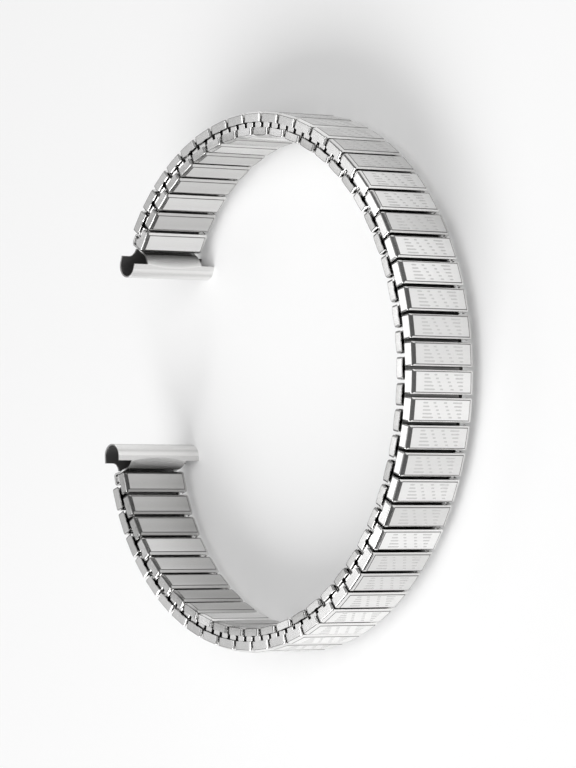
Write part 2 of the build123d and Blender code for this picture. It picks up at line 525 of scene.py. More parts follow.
def thicken(
    mesh: bpy.types.Mesh,
    name: str,
    sheet: float,
    side: int,
    eased: float = 0.0,
) -> bpy.types.Mesh:
    """Give an open skin its sheet thickness.

    Args:
        mesh: The skin.
        name: Name of the new mesh.
        sheet: Thickness in millimetres.
        side: Sign of the way that the skin's face looks along Y, to thicken it inward. With 0
            the skin is the middle of the sheet.
        eased: Size of the eased edges in millimetres, if any.

    Returns:
        The closed mesh.
    """
    work = bmesh.new()
    work.from_mesh(mesh)
    work.normal_update()
    lean = sum(face.normal.y * face.calc_area() for face in work.faces)
    if lean * side < 0:
        bmesh.ops.reverse_faces(work, faces=work.faces)
    work.to_mesh(mesh)
    work.free()
    carrier = bpy.data.objects.new(name + "_carrier", mesh)
    bpy.context.scene.collection.objects.link(carrier)
    shell = carrier.modifiers.new("sheet", "SOLIDIFY")
    shell.thickness = sheet * MM
    shell.offset = -1.0 if side else 0.0
    shell.use_even_offset = True
    shell.use_quality_normals = True
    if eased:
        ease = carrier.modifiers.new("eased edges", "BEVEL")
        ease.width = eased * MM
        ease.segments = 2
        ease.limit_method = "ANGLE"
        ease.angle_limit = math.radians(EASED_EDGE_DEGREES)
    seen = carrier.evaluated_get(bpy.context.evaluated_depsgraph_get())
    solid = bpy.data.meshes.new_from_object(seen)
    solid.name = name
    bpy.data.objects.remove(carrier)
    bpy.data.meshes.remove(mesh)
    work = bmesh.new()
    work.from_mesh(solid)
    mark_folds(work)
    work.to_mesh(solid)
    work.free()
    return solid


@dataclass
class FlatTube:
    """A flattened tube, open at both ends, with rounded long edges."""

    name: str
    half_length: float
    low: float
    high: float
    half_width: float
    sheet: float
    bend: float = 0.14
    least_bend: float = 0.02
    steps: int = 4

    def _outline(self, inset: float) -> Loop:
        """The tube's cross-section.

        Args:
            inset: How far inside the outer surface it lies.

        Returns:
            Its points, once round.
        """
        radius = max(self.least_bend, self.bend - inset)
        x, low, high = self.half_length - inset, self.low + inset, self.high - inset
        corners = [
            (x - radius, high - radius, 0),
            (radius - x, high - radius, 90),
            (radius - x, low + radius, 180),
            (x - radius, low + radius, 270),
        ]
        outline: Loop = []
        for cx, cy, start in corners:
            for step in range(self.steps + 1):
                angle = math.radians(start + 90 * step / self.steps)
                outline.append((cx + radius * math.cos(angle), cy + radius * math.sin(angle)))
        return outline

    def build(self) -> bpy.types.Mesh:
        """Make the tube's mesh.

        Returns:
            The closed mesh.
        """
        points: list[Point] = []
        faces: list[list[int]] = []
        outer, inner = self._outline(0.0), self._outline(self.sheet)
        rings = []
        for outline, end in ((inner, 1), (outer, 1), (outer, -1), (inner, -1)):
            start = len(points)
            points += [(x, y, end * self.half_width) for x, y in outline]
            rings.append(list(range(start, len(points))))
        for first, second in zip(rings, rings[1:] + rings[:1]):
            bridge(faces, first, second)
        return make_mesh(self.name, points, faces, Shading.FOLDED)


@dataclass
class Plate:
    """A flat plate with eased edges, such as the inner link's closing wall."""

    name: str
    half_length: float
    low: float
    high: float
    half_width: float
    ease: float = 0.02

    def build(self) -> bpy.types.Mesh:
        """Make the plate's mesh.

        Returns:
            The closed mesh.
        """
        points: list[Point] = []
        faces: list[list[int]] = []
        rings = []
        levels = (
            (self.low, self.ease),
            (self.low + self.ease, 0.0),
            (self.high - self.ease, 0.0),
            (self.high, self.ease),
        )
        for y, inset in levels:
            start = len(points)
            x, z = self.half_length - inset, self.half_width - inset
            points += [(x, y, z), (-x, y, z), (-x, y, -z), (x, y, -z)]
            rings.append(list(range(start, start + 4)))
        for first, second in zip(rings, rings[1:]):
            bridge(faces, first, second)
        faces += [rings[0], rings[-1][::-1]]
        return make_mesh(self.name, points, faces, Shading.FLAT)


def sweep_strip(
    name: str,
    path: Sequence[tuple[float, float]],
    widths: Sequence[float],
    sheet: float,
    ease: float,
) -> bpy.types.Mesh:
    """Sweep a flat strip with eased edges along a path in the YZ plane.

    Args:
        name: Name of the mesh.
        path: Points (y, z) of the strip's middle.
        widths: Half width along X at each point.
        sheet: Thickness of the strip.
        ease: Size of the eased edges.

    Returns:
        The closed mesh.
    """
    points: list[Point] = []
    rings: list[list[int]] = []
    last = len(path) - 1
    for index, (y, z) in enumerate(path):
        before, after = path[max(0, index - 1)], path[min(last, index + 1)]
        run = Vector((after[0] - before[0], after[1] - before[1])).normalized()
        normal = Vector((-run.y, run.x))
        bend_gain = 1.0
        if 0 < index < last:
            first = Vector((y - before[0], z - before[1])).normalized()
            second = Vector((after[0] - y, after[1] - z)).normalized()
            bend_gain = 1.0 / max(0.5, math.sqrt((1 + first.dot(second)) / 2))
        half = sheet / 2
        start = len(points)
        section = [
            (1, 1 - ease / half, 0),
            (1, -1 + ease / half, 0),
            (1, -1, ease),
            (-1, -1, ease),
            (-1, -1 + ease / half, 0),
            (-1, 1 - ease / half, 0),
            (-1, 1, ease),
            (1, 1, ease),
        ]
        for sign, share, inset in section:
            offset = half * share * bend_gain
            points.append((sign * (widths[index] - inset), y + normal.x * offset, z + normal.y * offset))
        rings.append(list(range(start, start + len(section))))
    faces: list[list[int]] = []
    for first_ring, second_ring in zip(rings, rings[1:]):
        bridge(faces, first_ring, second_ring)
    faces += [rings[0][::-1], rings[-1]]
    return make_mesh(name, points, faces, Shading.FOLDED)


@dataclass
class UBow:
    """A small flat U that ties the two rows together; turned over, it serves the lower edge."""

    sheet: float = 0.22
    leg: float = 0.815
    leg_half: float = 0.32
    web_half: float = 0.515
    web_reach: float = 0.28
    web_middle: float = 4.15
    leg_end: float = 1.64
    bend: float = 0.17
    bend_steps: int = 5
    flare: float = 0.1
    flare_out: float = 0.06
    flare_in: float = 0.05
    web_inner: float = 0.1
    ease: float = 0.035

    def build(self) -> bpy.types.Mesh:
        """Make the bow's mesh, in the frame of its station.

        Returns:
            The closed mesh.
        """
        path: Loop = [(self.leg, self.leg_end), (self.leg, self.web_middle - self.bend)]
        for step in range(1, self.bend_steps + 1):
            angle = math.radians(90 * step / self.bend_steps)
            path.append(
                (
                    self.leg - self.bend + self.bend * math.cos(angle),
                    self.web_middle - self.bend + self.bend * math.sin(angle),
                )
            )
        for reach in (
            self.web_reach + self.flare_out,
            self.web_reach,
            self.web_reach - self.flare_in,
            self.web_inner,
        ):
            path.append((reach, self.web_middle))
        path += [(-y, z) for y, z in reversed(path)]
        widths = []
        for y, z in path:
            grow = max(0.0, min(1.0, (self.web_reach + self.flare_out - abs(y)) / self.flare))
            if z < self.web_middle - self.bend / 2:
                grow = 0.0
            widths.append(self.leg_half + (self.web_half - self.leg_half) * grow)
        return sweep_strip("u_bow", path, widths, self.sheet, self.ease)


@dataclass
class LeafSpring:
    """A leaf spring that lies along a link's wall and arches in its middle."""

    name: str
    base: float
    side: int
    half_length: float = 0.89
    reach: float = 3.92
    arch_half: float = 1.3
    arch_rise: float = 0.26
    arch_steps: int = 12
    sheet: float = 0.08
    ease: float = 0.012

    def build(self) -> bpy.types.Mesh:
        """Make the spring's mesh.

        Returns:
            The closed mesh.
        """
        path: Loop = []
        middle = self.base - self.side * self.sheet / 2
        for z in (-self.reach, -self.reach / 2 - self.arch_half / 2, -self.arch_half):
            path.append((middle, z))
        for step in range(1, self.arch_steps):
            z = -self.arch_half + 2 * self.arch_half * step / self.arch_steps
            bow = 0.5 + 0.5 * math.cos(math.pi * z / self.arch_half)
            path.append((middle - self.side * self.arch_rise * bow, z))
        path += [(y, -z) for y, z in reversed(path[:3])]
        return sweep_strip(self.name, path, [self.half_length] * len(path), self.sheet, self.ease)


@dataclass
class EndFitting:
    """The end sheet: a hood for the spring bar, a creased tongue and a curled tab.

    The profile runs in the fitting's own frame, X along the band and Y outward. side is -1
    where the hood points along +X.
    """

    name: str
    side: int
    sheet: float = 0.2
    hood_x: float = -1.7
    hood_y: float = -1.28
    hood_tilt: float = 10.0
    hood_radius: float = 1.4
    outer_leg: float = 0.86
    apron: float = 0.92
    shoulder: float = 0.9
    inner_leg: float = 0.62
    crease_sag: float = 0.42
    hood_half: float = 6.0
    corner: float = 0.35
    tongue_half: float = 4.05
    knee_half: float = 3.9
    tab_half: float = 4.0
    knee: tuple[float, float] = (-0.2, -1.1)
    tab_wall: float = 0.0
    tab_far: float = 1.32
    tab_low: float = 0.42
    tab_top: float = 1.24
    tab_bend: float = 0.3
    tab_entry: tuple[float, float] = (-0.1, -0.4)
    tab_heights: tuple[float, float] = (0.1, 0.6)
    tab_end: float = 0.45
    tongue_columns: int = 13
    hood_steps: int = 32
    tongue_steps: int = 16
    bend_steps: int = 6
    ease: float = 0.03
    tongue_lift: tuple[float, float] = (0.42, 0.34)
    knee_drop: float = 0.55
    tongue_ease: float = 1.35
    tongue_reach: float = 1.55
    # Shares of painted shade: deep in the hood and behind the leg, along the tongue, and faint elsewhere.
    heavy_tarnish: float = 0.86
    tongue_tarnish: float = 0.95
    light_tarnish: float = 0.15
    inside_margin: float = 0.02
    leg_margin: float = 0.3
    leg_stop: float = -0.16
    tab_foot: float = -0.5
    # Painted reflection bands round the outside of the hood, as angle, spread and share of painted shade.
    forming_lines: tuple[tuple[float, float, float], ...] = ((198.0, 7.0, 0.45), (246.0, 9.0, 0.22))

    def _local(self, x: float, y: float) -> tuple[float, float]:
        """A point of the hood's tilted frame in the fitting's frame.

        Args:
            x: The point's x from the hood's middle.
            y: Its y from the hood's middle.

        Returns:
            The point in the fitting's frame.
        """
        tilt = math.radians(self.hood_tilt)
        return (
            self.hood_x + x * math.cos(tilt) - y * math.sin(tilt),
            self.hood_y + x * math.sin(tilt) + y * math.cos(tilt),
        )

    def _hood_profile(self, outer: float, leg: float) -> Loop:
        """The hood from its outer leg round to the end of its inner leg.

        Args:
            outer: Length of the outer leg.
            leg: Length of the inner leg.

        Returns:
            Points of the sheet's middle.
        """
        middle = self.hood_radius - self.sheet / 2
        points = [(share * outer, middle) for share in (1.0, 0.96, 0.7, 0.35, 0.05)]
        for step in range(self.hood_steps + 1):
            angle = math.radians(90 + 180 * step / self.hood_steps)
            points.append((middle * math.cos(angle), middle * math.sin(angle)))
        points += [(share * leg, -middle) for share in (0.1, 0.35, 0.6, 0.8, 0.92, 1.0)]
        return [self._local(x, y) for x, y in points]

    def _tongue_profile(self, leg: float) -> list[tuple[float, float, float]]:
        """The tongue from the crease to the end of the tab.

        Args:
            leg: Length of the hood's inner leg, where the crease lies.

        Returns:
            Points of the sheet's middle, each with the half width there.
        """
        middle = self.hood_radius - self.sheet / 2
        start = Vector(self._local(leg, -middle))
        lift = Vector(self._local(leg + self.tongue_lift[0], -middle + self.tongue_lift[1]))
        knee = Vector(self.knee)
        before = knee + Vector((0.0, -self.knee_drop))
        points: list[tuple[float, float, float]] = []
        for step in range(1, self.tongue_steps + 1):
            t = (step / self.tongue_steps) ** self.tongue_ease
            u = 1 - t
            spot = u**3 * start + 3 * u * u * t * lift + 3 * u * t * t * before + t**3 * knee
            width = self.tongue_half + (self.knee_half - self.tongue_half) * t
            points.append((spot.x, spot.y, width))
        half = self.tab_half
        points.append((*self.tab_entry, half))
        points += [(self.tab_wall, height, half) for height in self.tab_heights]
        bends = (
            (self.tab_wall + self.tab_bend, self.tab_top - self.tab_bend, 180),
            (self.tab_far - self.tab_bend, self.tab_top - self.tab_bend, 90),
            (self.tab_far - self.tab_bend, self.tab_low + self.tab_bend, 0),
        )
        for centre_x, centre_y, begin in bends:
            for step in range(self.bend_steps + 1):
                angle = math.radians(begin - 90 * step / self.bend_steps)
                x = centre_x + self.tab_bend * math.cos(angle)
                y = centre_y + self.tab_bend * math.sin(angle)
                points.append((x, y, half))
        points.append((self.tab_wall + self.tab_end, self.tab_low, half))
        return points

    def _columns(self) -> list[float]:
        """Places across the band, as shares of the tongue's half width and then of the rest.

        Returns:
            Shares from 0 to 1 on the tongue, and from 1 to 2 outside it.
        """
        inner = spaced(0.0, 1.0, self.tongue_columns)
        rest = [0.03, 0.08, 0.15, 0.24, 0.34, 0.46, 0.6, 0.8, 0.9, 0.96, 1.0]
        return inner + [1 + share for share in rest]

    def build(self) -> bpy.types.Mesh:
        """Make the fitting's mesh.

        Returns:
            The closed mesh.
        """
        points: list[Point] = []
        faces: list[list[int]] = []
        half_columns = self._columns()
        columns = [-value for value in reversed(half_columns[1:])] + half_columns
        tongue: list[list[int]] = []
        hood: list[list[int]] = []
        for column in columns:
            share = min(1.0, abs(column))
            leg = self.inner_leg - self.crease_sag * (1 - share**2)
            outside = max(0.0, abs(column) - 1.0)
            across = share * self.tongue_half + outside * (self.hood_half - self.tongue_half)
            shoulder = min(1.0, (across - share * self.tongue_half) / self.shoulder)
            outer = self.outer_leg + self.apron * (1 - math.sqrt(1 - (1 - shoulder) ** 2))
            sign = math.copysign(1.0, column)
            line: list[int] = []
            for x, y in self._hood_profile(outer, leg):
                line.append(len(points))
                points.append((x * self.side, y, sign * across))
            hood.append(line)
            if outside > 0:
                continue
            run = [line[-1]]
            for x, y, width in self._tongue_profile(leg):
                run.append(len(points))
                points.append((x * self.side, y, sign * share * width))
            tongue.append(run)
        for strips in (hood, tongue):
            for first, second in zip(strips, strips[1:]):
                for index in range(len(first) - 1):
                    faces.append([first[index], first[index + 1], second[index + 1], second[index]])
        mesh = make_mesh(self.name + "_skin", points, faces, Shading.FOLDED)
        solid = thicken(mesh, self.name, self.sheet, 0, eased=self.ease)
        # Painted shade and painted reflection bands, stored per point for the finish to darken by.
        painted_shade_share = solid.attributes.new("painted_shade_share", "FLOAT", "POINT")
        for vertex in solid.vertices:
            painted_shade_share.data[vertex.index].value = self._tarnish(vertex.co / MM, vertex.normal)
        return solid

    def _tarnish(self, spot: Vector, normal: Vector) -> float:
        """How much shade is painted on the sheet at a point: deep inside the hood, behind the tongue and on
        its inner side, rising along the tongue past the crease and faint at its foot, with painted
        reflection bands round the outside of the hood.

        Args:
            spot: The point, in millimetres.
            normal: The surface's normal there.

        Returns:
            A share from 0, no painted shade, to 1, full painted shade.
        """
        x, y = spot.x * self.side - self.hood_x, spot.y - self.hood_y
        tilt = math.radians(self.hood_tilt)
        along = x * math.cos(tilt) + y * math.sin(tilt)
        above = y * math.cos(tilt) - x * math.sin(tilt)
        if along < 0:
            if math.hypot(along, above) < self.hood_radius - self.sheet + self.inside_margin:
                return self.heavy_tarnish
            # Round the outside of the hood: painted reflection bands.
            turned = math.degrees(math.atan2(above, along)) % 360
            return sum(
                share * math.exp(-(((turned - angle) / spread) ** 2))
                for angle, spread, share in self.forming_lines
            )
        behind = above > self.hood_radius - self.sheet - self.leg_margin
        if behind and spot.x * self.side < self.leg_stop:
            return self.heavy_tarnish if normal.y < 0.1 else 0.0
        if spot.y > self.tab_foot:
            return self.light_tarnish
        if normal.y > 0:
            return self.heavy_tarnish
        share = min(1.0, abs(spot.z) / self.tongue_half)
        crease = self.inner_leg - self.crease_sag * (1 - share**2)
        past = (along - crease) / (self.tongue_reach - crease)
        return self.light_tarnish if past < 0 else self.tongue_tarnish * min(1.0, past) ** 0.9


# Shader helpers.


def feed(tree: bpy.types.NodeTree, socket: bpy.types.NodeSocket, value: Setting) -> None:
    """Link an input to another node's output, or set its value.

    Args:
        tree: The node tree.
        socket: The input.
        value: An output to link, or a number or colour.
    """
    if isinstance(value, bpy.types.NodeSocket):
        tree.links.new(value, socket)
    else:
        socket.default_value = value


def add_node(tree: bpy.types.NodeTree, kind: str, inputs: dict[str, Setting]) -> bpy.types.Node:
    """Add a shader node and feed its inputs by name.

    Args:
        tree: The node tree.
        kind: Type of the node.
        inputs: What each named input takes.

    Returns:
        The new node.
    """
    node = tree.nodes.new(kind)
    for label, value in inputs.items():
        feed(tree, node.inputs[label], value)
    return node


def add_math(tree: bpy.types.NodeTree, operation: str, *values: Setting) -> bpy.types.NodeSocket:
    """Add a Math node.

    Args:
        tree: The node tree.
        operation: Name of the operation.
        values: What its inputs take, in order.

    Returns:
        The node's output.
    """
    node = tree.nodes.new("ShaderNodeMath")
    node.operation = operation
    for socket, value in zip(node.inputs, values):
        feed(tree, socket, value)
    return node.outputs[0]


def add_mix(
    tree: bpy.types.NodeTree, factor: bpy.types.NodeSocket, first: Setting, second: Setting
) -> bpy.types.NodeSocket:
    """Add a node that mixes two colours.

    Args:
        tree: The node tree.
        factor: The share of the second colour.
        first: A colour's output, or three numbers.
        second: The same for the second colour.

    Returns:
        The mixed colour.
    """
    node = tree.nodes.new("ShaderNodeMix")
    node.data_type = "RGBA"
    tree.links.new(factor, node.inputs["Factor"])
    for label, colour in (("A", first), ("B", second)):
        whole = colour if isinstance(colour, bpy.types.NodeSocket) else (*colour, 1.0)
        feed(tree, node.inputs[label], whole)
    return node.outputs["Result"]


def add_noise(
    tree: bpy.types.NodeTree,
    place: bpy.types.NodeSocket,
    scale: Setting,
    detail: float,
    distortion: float = 0.0,
) -> bpy.types.NodeSocket:
    """Add a noise texture.

    Args:
        tree: The node tree.
        place: Where on the surface it is read.
        scale: Its fineness.
        detail: How many finer layers it has.
        distortion: How far it is swirled.

    Returns:
        The noise, from 0 to 1.
    """
    settings = {"Vector": place, "Scale": scale, "Detail": detail, "Distortion": distortion}
    return add_node(tree, "ShaderNodeTexNoise", settings).outputs["Fac"]


# Finishes.


class GroupMaker:
    """Builds the shader node groups that the finishes share, each once."""

    def __init__(self) -> None:
        """Start with no groups."""
        self.made: dict[str, bpy.types.NodeTree] = {}

    def _start(self, name: str, inputs: dict[str, float], outputs: Sequence[str]) -> bpy.types.NodeTree:
        """Make an empty group with its sockets, and keep it.

        Args:
            name: Name of the group.
            inputs: Its number inputs with their usual values.
            outputs: Names of its outputs.

        Returns:
            The new group.
        """
        group = bpy.data.node_groups.new(name, "ShaderNodeTree")
        group.interface.new_socket("Vector", in_out="INPUT", socket_type="NodeSocketVector")
        for label, value in inputs.items():
            socket = group.interface.new_socket(label, in_out="INPUT", socket_type="NodeSocketFloat")
            socket.default_value = value
        for label in outputs:
            group.interface.new_socket(label, in_out="OUTPUT", socket_type="NodeSocketFloat")
        group.nodes.new("NodeGroupInput").name = "in"
        group.nodes.new("NodeGroupOutput").name = "out"
        self.made[name] = group
        return group

    def brushing(self) -> bpy.types.NodeTree:
        """Fine parallel scratches that run along local Z, with longer streaks between.

        Returns:
            A group with the outputs Lines, from 0 to 1, and Streaks, from 0 to 1.
        """
        if "brushing" in self.made:
            return self.made["brushing"]
        sizes = {"Fineness": 9000.0, "Stretch": 60.0, "Streak size": 900.0}
        group = self._start("brushing", sizes, ("Lines", "Streaks"))
        given = group.nodes["in"].outputs
        parts = add_node(group, "ShaderNodeSeparateXYZ", {"Vector": given["Vector"]}).outputs
        shrunk = add_math(group, "DIVIDE", parts["Z"], given["Stretch"])
        joined = add_node(group, "ShaderNodeCombineXYZ", {"X": parts["X"], "Y": parts["Y"], "Z": shrunk})
        for label, output, detail in (("Fineness", "Lines", 3.0), ("Streak size", "Streaks", 2.0)):
            noise = add_noise(group, joined.outputs[0], given[label], detail=detail)
            group.links.new(noise, group.nodes["out"].inputs[output])
        return group

    def handling(self) -> bpy.types.NodeTree:
        """Soft smudges and a sparse dusting of tiny marks, as handled metal has.

        Returns:
            A group with the outputs Smudge and Marks, both from 0 to 1.
        """
        if "handling" in self.made:
            return self.made["handling"]
        group = self._start("handling", {"Smudge size": 260.0, "Mark size": 5200.0}, ("Smudge", "Marks"))
        given = group.nodes["in"].outputs
        cloud = add_noise(group, given["Vector"], given["Smudge size"], detail=4.0, distortion=0.6)
        speck = add_noise(group, given["Vector"], given["Mark size"], detail=1.0)
        for noise, low, high, output in ((cloud, 0.35, 0.7, "Smudge"), (speck, 0.66, 0.74, "Marks")):
            limits = {"Value": noise, "From Min": low, "From Max": high}
            share = add_node(group, "ShaderNodeMapRange", limits)
            group.links.new(share.outputs["Result"], group.nodes["out"].inputs[output])
        return group

    def edge_wear(self) -> bpy.types.NodeTree:
        """Where the sheet's edges are rubbed bright, from the surface's own curving.

        Returns:
            A group with the output Worn, from 0 to 1.
        """
        if "edge_wear" in self.made:
            return self.made["edge_wear"]
        group = self._start("edge_wear", {"Start": 0.52, "Full": 0.66, "Break up": 1800.0}, ("Worn",))
        given = group.nodes["in"].outputs
        shape = group.nodes.new("ShaderNodeNewGeometry")
        noise = add_noise(group, given["Vector"], given["Break up"], detail=3.0)
        waver = add_math(group, "MULTIPLY_ADD", noise, WAVER, -WAVER / 2)
        added = add_math(group, "ADD", shape.outputs["Pointiness"], waver)
        limits = {"Value": added, "From Min": given["Start"], "From Max": given["Full"]}
        worn = add_node(group, "ShaderNodeMapRange", limits)
        group.links.new(worn.outputs["Result"], group.nodes["out"].inputs["Worn"])
        return group


@dataclass(frozen=True)
class SteelFinish:
    """A stainless steel surface: its tone, its gloss and how it was worked."""

    name: str
    dark: tuple[float, float, float]
    light: tuple[float, float, float]
    smooth: float
    rough: float
    line_bump: float
    fineness: float = 9000.0
    stretch: float = 60.0
    smudge: float = 0.04
    wear: float = 0.25
    anisotropic: float = 0.0
    variety: float = 0.3
    # Whether a painted shade attribute on the mesh darkens the colour.
    tarnishes: bool = False

    def make(self, groups: GroupMaker) -> bpy.types.Material:
        """Make the material.

        Args:
            groups: The shared node groups.

        Returns:
            The finished material.
        """
        material = bpy.data.materials.new(self.name)
        material.use_nodes = True
        tree = material.node_tree
        shader = tree.nodes["Principled BSDF"]
        shader.inputs["Metallic"].default_value = 1.0
        shader.inputs["Anisotropic"].default_value = self.anisotropic
        place = tree.nodes.new("ShaderNodeTexCoord").outputs["Object"]
        brushing = self._group(tree, place, groups.brushing())
        brushing.inputs["Fineness"].default_value = self.fineness
        brushing.inputs["Stretch"].default_value = self.stretch
        handling = self._group(tree, place, groups.handling())
        wear = self._group(tree, place, groups.edge_wear())

        tone = add_mix(tree, self._variety(tree, brushing.outputs["Streaks"]), self.dark, self.light)
        bright = tuple(min(BRIGHTEST, value * RUBBED_GAIN) for value in self.light)
        rubbed = add_mix(tree, add_math(tree, "MULTIPLY", wear.outputs["Worn"], self.wear), tone, bright)
        # Painted shade from the mesh's attribute, where the finish takes it.
        if self.tarnishes:
            self._tarnish(tree, rubbed, shader)
        else:
            tree.links.new(rubbed, shader.inputs["Base Color"])

        spread = {"Value": brushing.outputs["Lines"], "To Min": self.smooth, "To Max": self.rough}
        gloss = add_node(tree, "ShaderNodeMapRange", spread).outputs["Result"]
        smeared = add_math(tree, "MULTIPLY_ADD", handling.outputs["Smudge"], self.smudge, gloss)
        tree.links.new(smeared, shader.inputs["Roughness"])

        height = add_math(
            tree, "MULTIPLY_ADD", handling.outputs["Marks"], -MARK_DEPTH, brushing.outputs["Lines"]
        )
        relief = {"Strength": self.line_bump, "Distance": BUMP_METRES, "Height": height}
        bump = add_node(tree, "ShaderNodeBump", relief)
        tree.links.new(bump.outputs["Normal"], shader.inputs["Normal"])
        return material

    def _variety(self, tree: bpy.types.NodeTree, streaks: bpy.types.NodeSocket) -> bpy.types.NodeSocket:
        """Mix the streaks with a tone that differs from link to link.

        Args:
            tree: The material's node tree.
            streaks: The brushing's streaks.

        Returns:
            The share of the light tone.
        """
        piece = tree.nodes.new("ShaderNodeObjectInfo")
        apart = add_math(tree, "SUBTRACT", piece.outputs["Random"], streaks)
        moved = add_math(tree, "MULTIPLY_ADD", apart, self.variety, streaks)
        moved.node.use_clamp = True
        return moved

    @staticmethod
    def _tarnish(tree: bpy.types.NodeTree, colour: bpy.types.NodeSocket, shader: bpy.types.Node) -> None:
        """Paint shade: darken the colour and lower the metal where the mesh's painted shade attribute says
        so.

        Args:
            tree: The material's node tree.
            colour: The metal's colour without painted shade.
            shader: The shader that is fed.
        """
        amount = tree.nodes.new("ShaderNodeAttribute")
        amount.attribute_name = "painted_shade_share"
        share = amount.outputs["Fac"]
        tree.links.new(add_mix(tree, share, colour, PAINTED_SHADE_GREY), shader.inputs["Base Color"])
        metal = add_math(tree, "MULTIPLY_ADD", share, -PAINTED_SHADE_METAL_LOSS, 1.0)
        tree.links.new(metal, shader.inputs["Metallic"])

    @staticmethod
    def _group(
        tree: bpy.types.NodeTree, place: bpy.types.NodeSocket, group: bpy.types.NodeTree
    ) -> bpy.types.Node:
        """Put a shared group into the material.

        Args:
            tree: The material's node tree.
            place: The object's own coordinates.
            group: The shared group.

        Returns:
            The group's node.
        """
        node = tree.nodes.new("ShaderNodeGroup")
        node.node_tree = group
        tree.links.new(place, node.inputs["Vector"])
        return node


POLISHED_CAP = SteelFinish(
    name="polished_cap",
    dark=(0.64, 0.636, 0.63),
    light=(0.95, 0.946, 0.94),
    smooth=0.07,
    rough=0.12,
    line_bump=0.05,
    fineness=5200.0,
    stretch=24.0,
    smudge=0.05,
    wear=0.5,
    variety=0.7,
)
# The grooves' darker tone is painted shade in the recess; their rougher gloss is the duller turned finish.
SHADED_TURNED_GROOVE = SteelFinish(
    name="turned_groove_painted_shade",
    dark=(0.58, 0.575, 0.57),
    light=(0.70, 0.695, 0.69),
    smooth=0.18,
    rough=0.28,
    line_bump=0.10,
    fineness=7000.0,
    stretch=30.0,
    smudge=0.05,
    wear=0.3,
)
# Painted shade: a dark line laid along the crease where each face meets its bevel, on caps and inner links.
CREASE_PAINTED_SHADE = SteelFinish(
    name="crease_painted_shade",
    dark=(0.13, 0.129, 0.127),
    light=(0.21, 0.208, 0.205),
    smooth=0.25,
    rough=0.38,
    line_bump=0.10,
    fineness=7000.0,
    stretch=30.0,
    smudge=0.05,
    wear=0.1,
)
BRUSHED_LINK = SteelFinish(
    name="brushed_link",
    dark=(0.42, 0.416, 0.41),
    light=(0.96, 0.956, 0.95),
    smooth=0.16,
    rough=0.26,
    line_bump=0.10,
    stretch=70.0,
    wear=0.4,
    anisotropic=0.35,
    variety=0.75,
)
# Painted shade: the sleeves and inner walls are steel like the links, toned near black as the shade in the
# gaps they show through.
SLEEVE_PAINTED_SHADE = SteelFinish(
    name="sleeve_painted_shade",
    dark=(0.15, 0.149, 0.148),
    light=(0.24, 0.238, 0.236),
    smooth=0.24,
    rough=0.36,
    line_bump=0.12,
    fineness=8000.0,
    stretch=40.0,
    wear=0.2,
)
BRIGHT_BOW = SteelFinish(
    name="bright_bow",
    dark=(0.70, 0.695, 0.69),
    light=(0.84, 0.835, 0.83),
    smooth=0.16,
    rough=0.26,
    line_bump=0.10,
    fineness=8000.0,
    stretch=20.0,
    wear=0.3,
)
# The end fittings' finish; it takes their painted shade and painted reflection bands.
SATIN_HOOD = SteelFinish(
    name="satin_hood",
    dark=(0.74, 0.736, 0.73),
    light=(0.92, 0.916, 0.91),
    smooth=0.10,
    rough=0.18,
    line_bump=0.10,
    fineness=7000.0,
    stretch=90.0,
    wear=0.4,
    variety=0.1,
    tarnishes=True,
)
SPRING_LEAF = SteelFinish(
    name="spring_leaf",
    dark=(0.22, 0.218, 0.21),
    light=(0.32, 0.315, 0.305),
    smooth=0.22,
    rough=0.34,
    line_bump=0.10,
    fineness=8000.0,
    stretch=50.0,
    smudge=0.03,
    wear=0.1,
)


# The band.


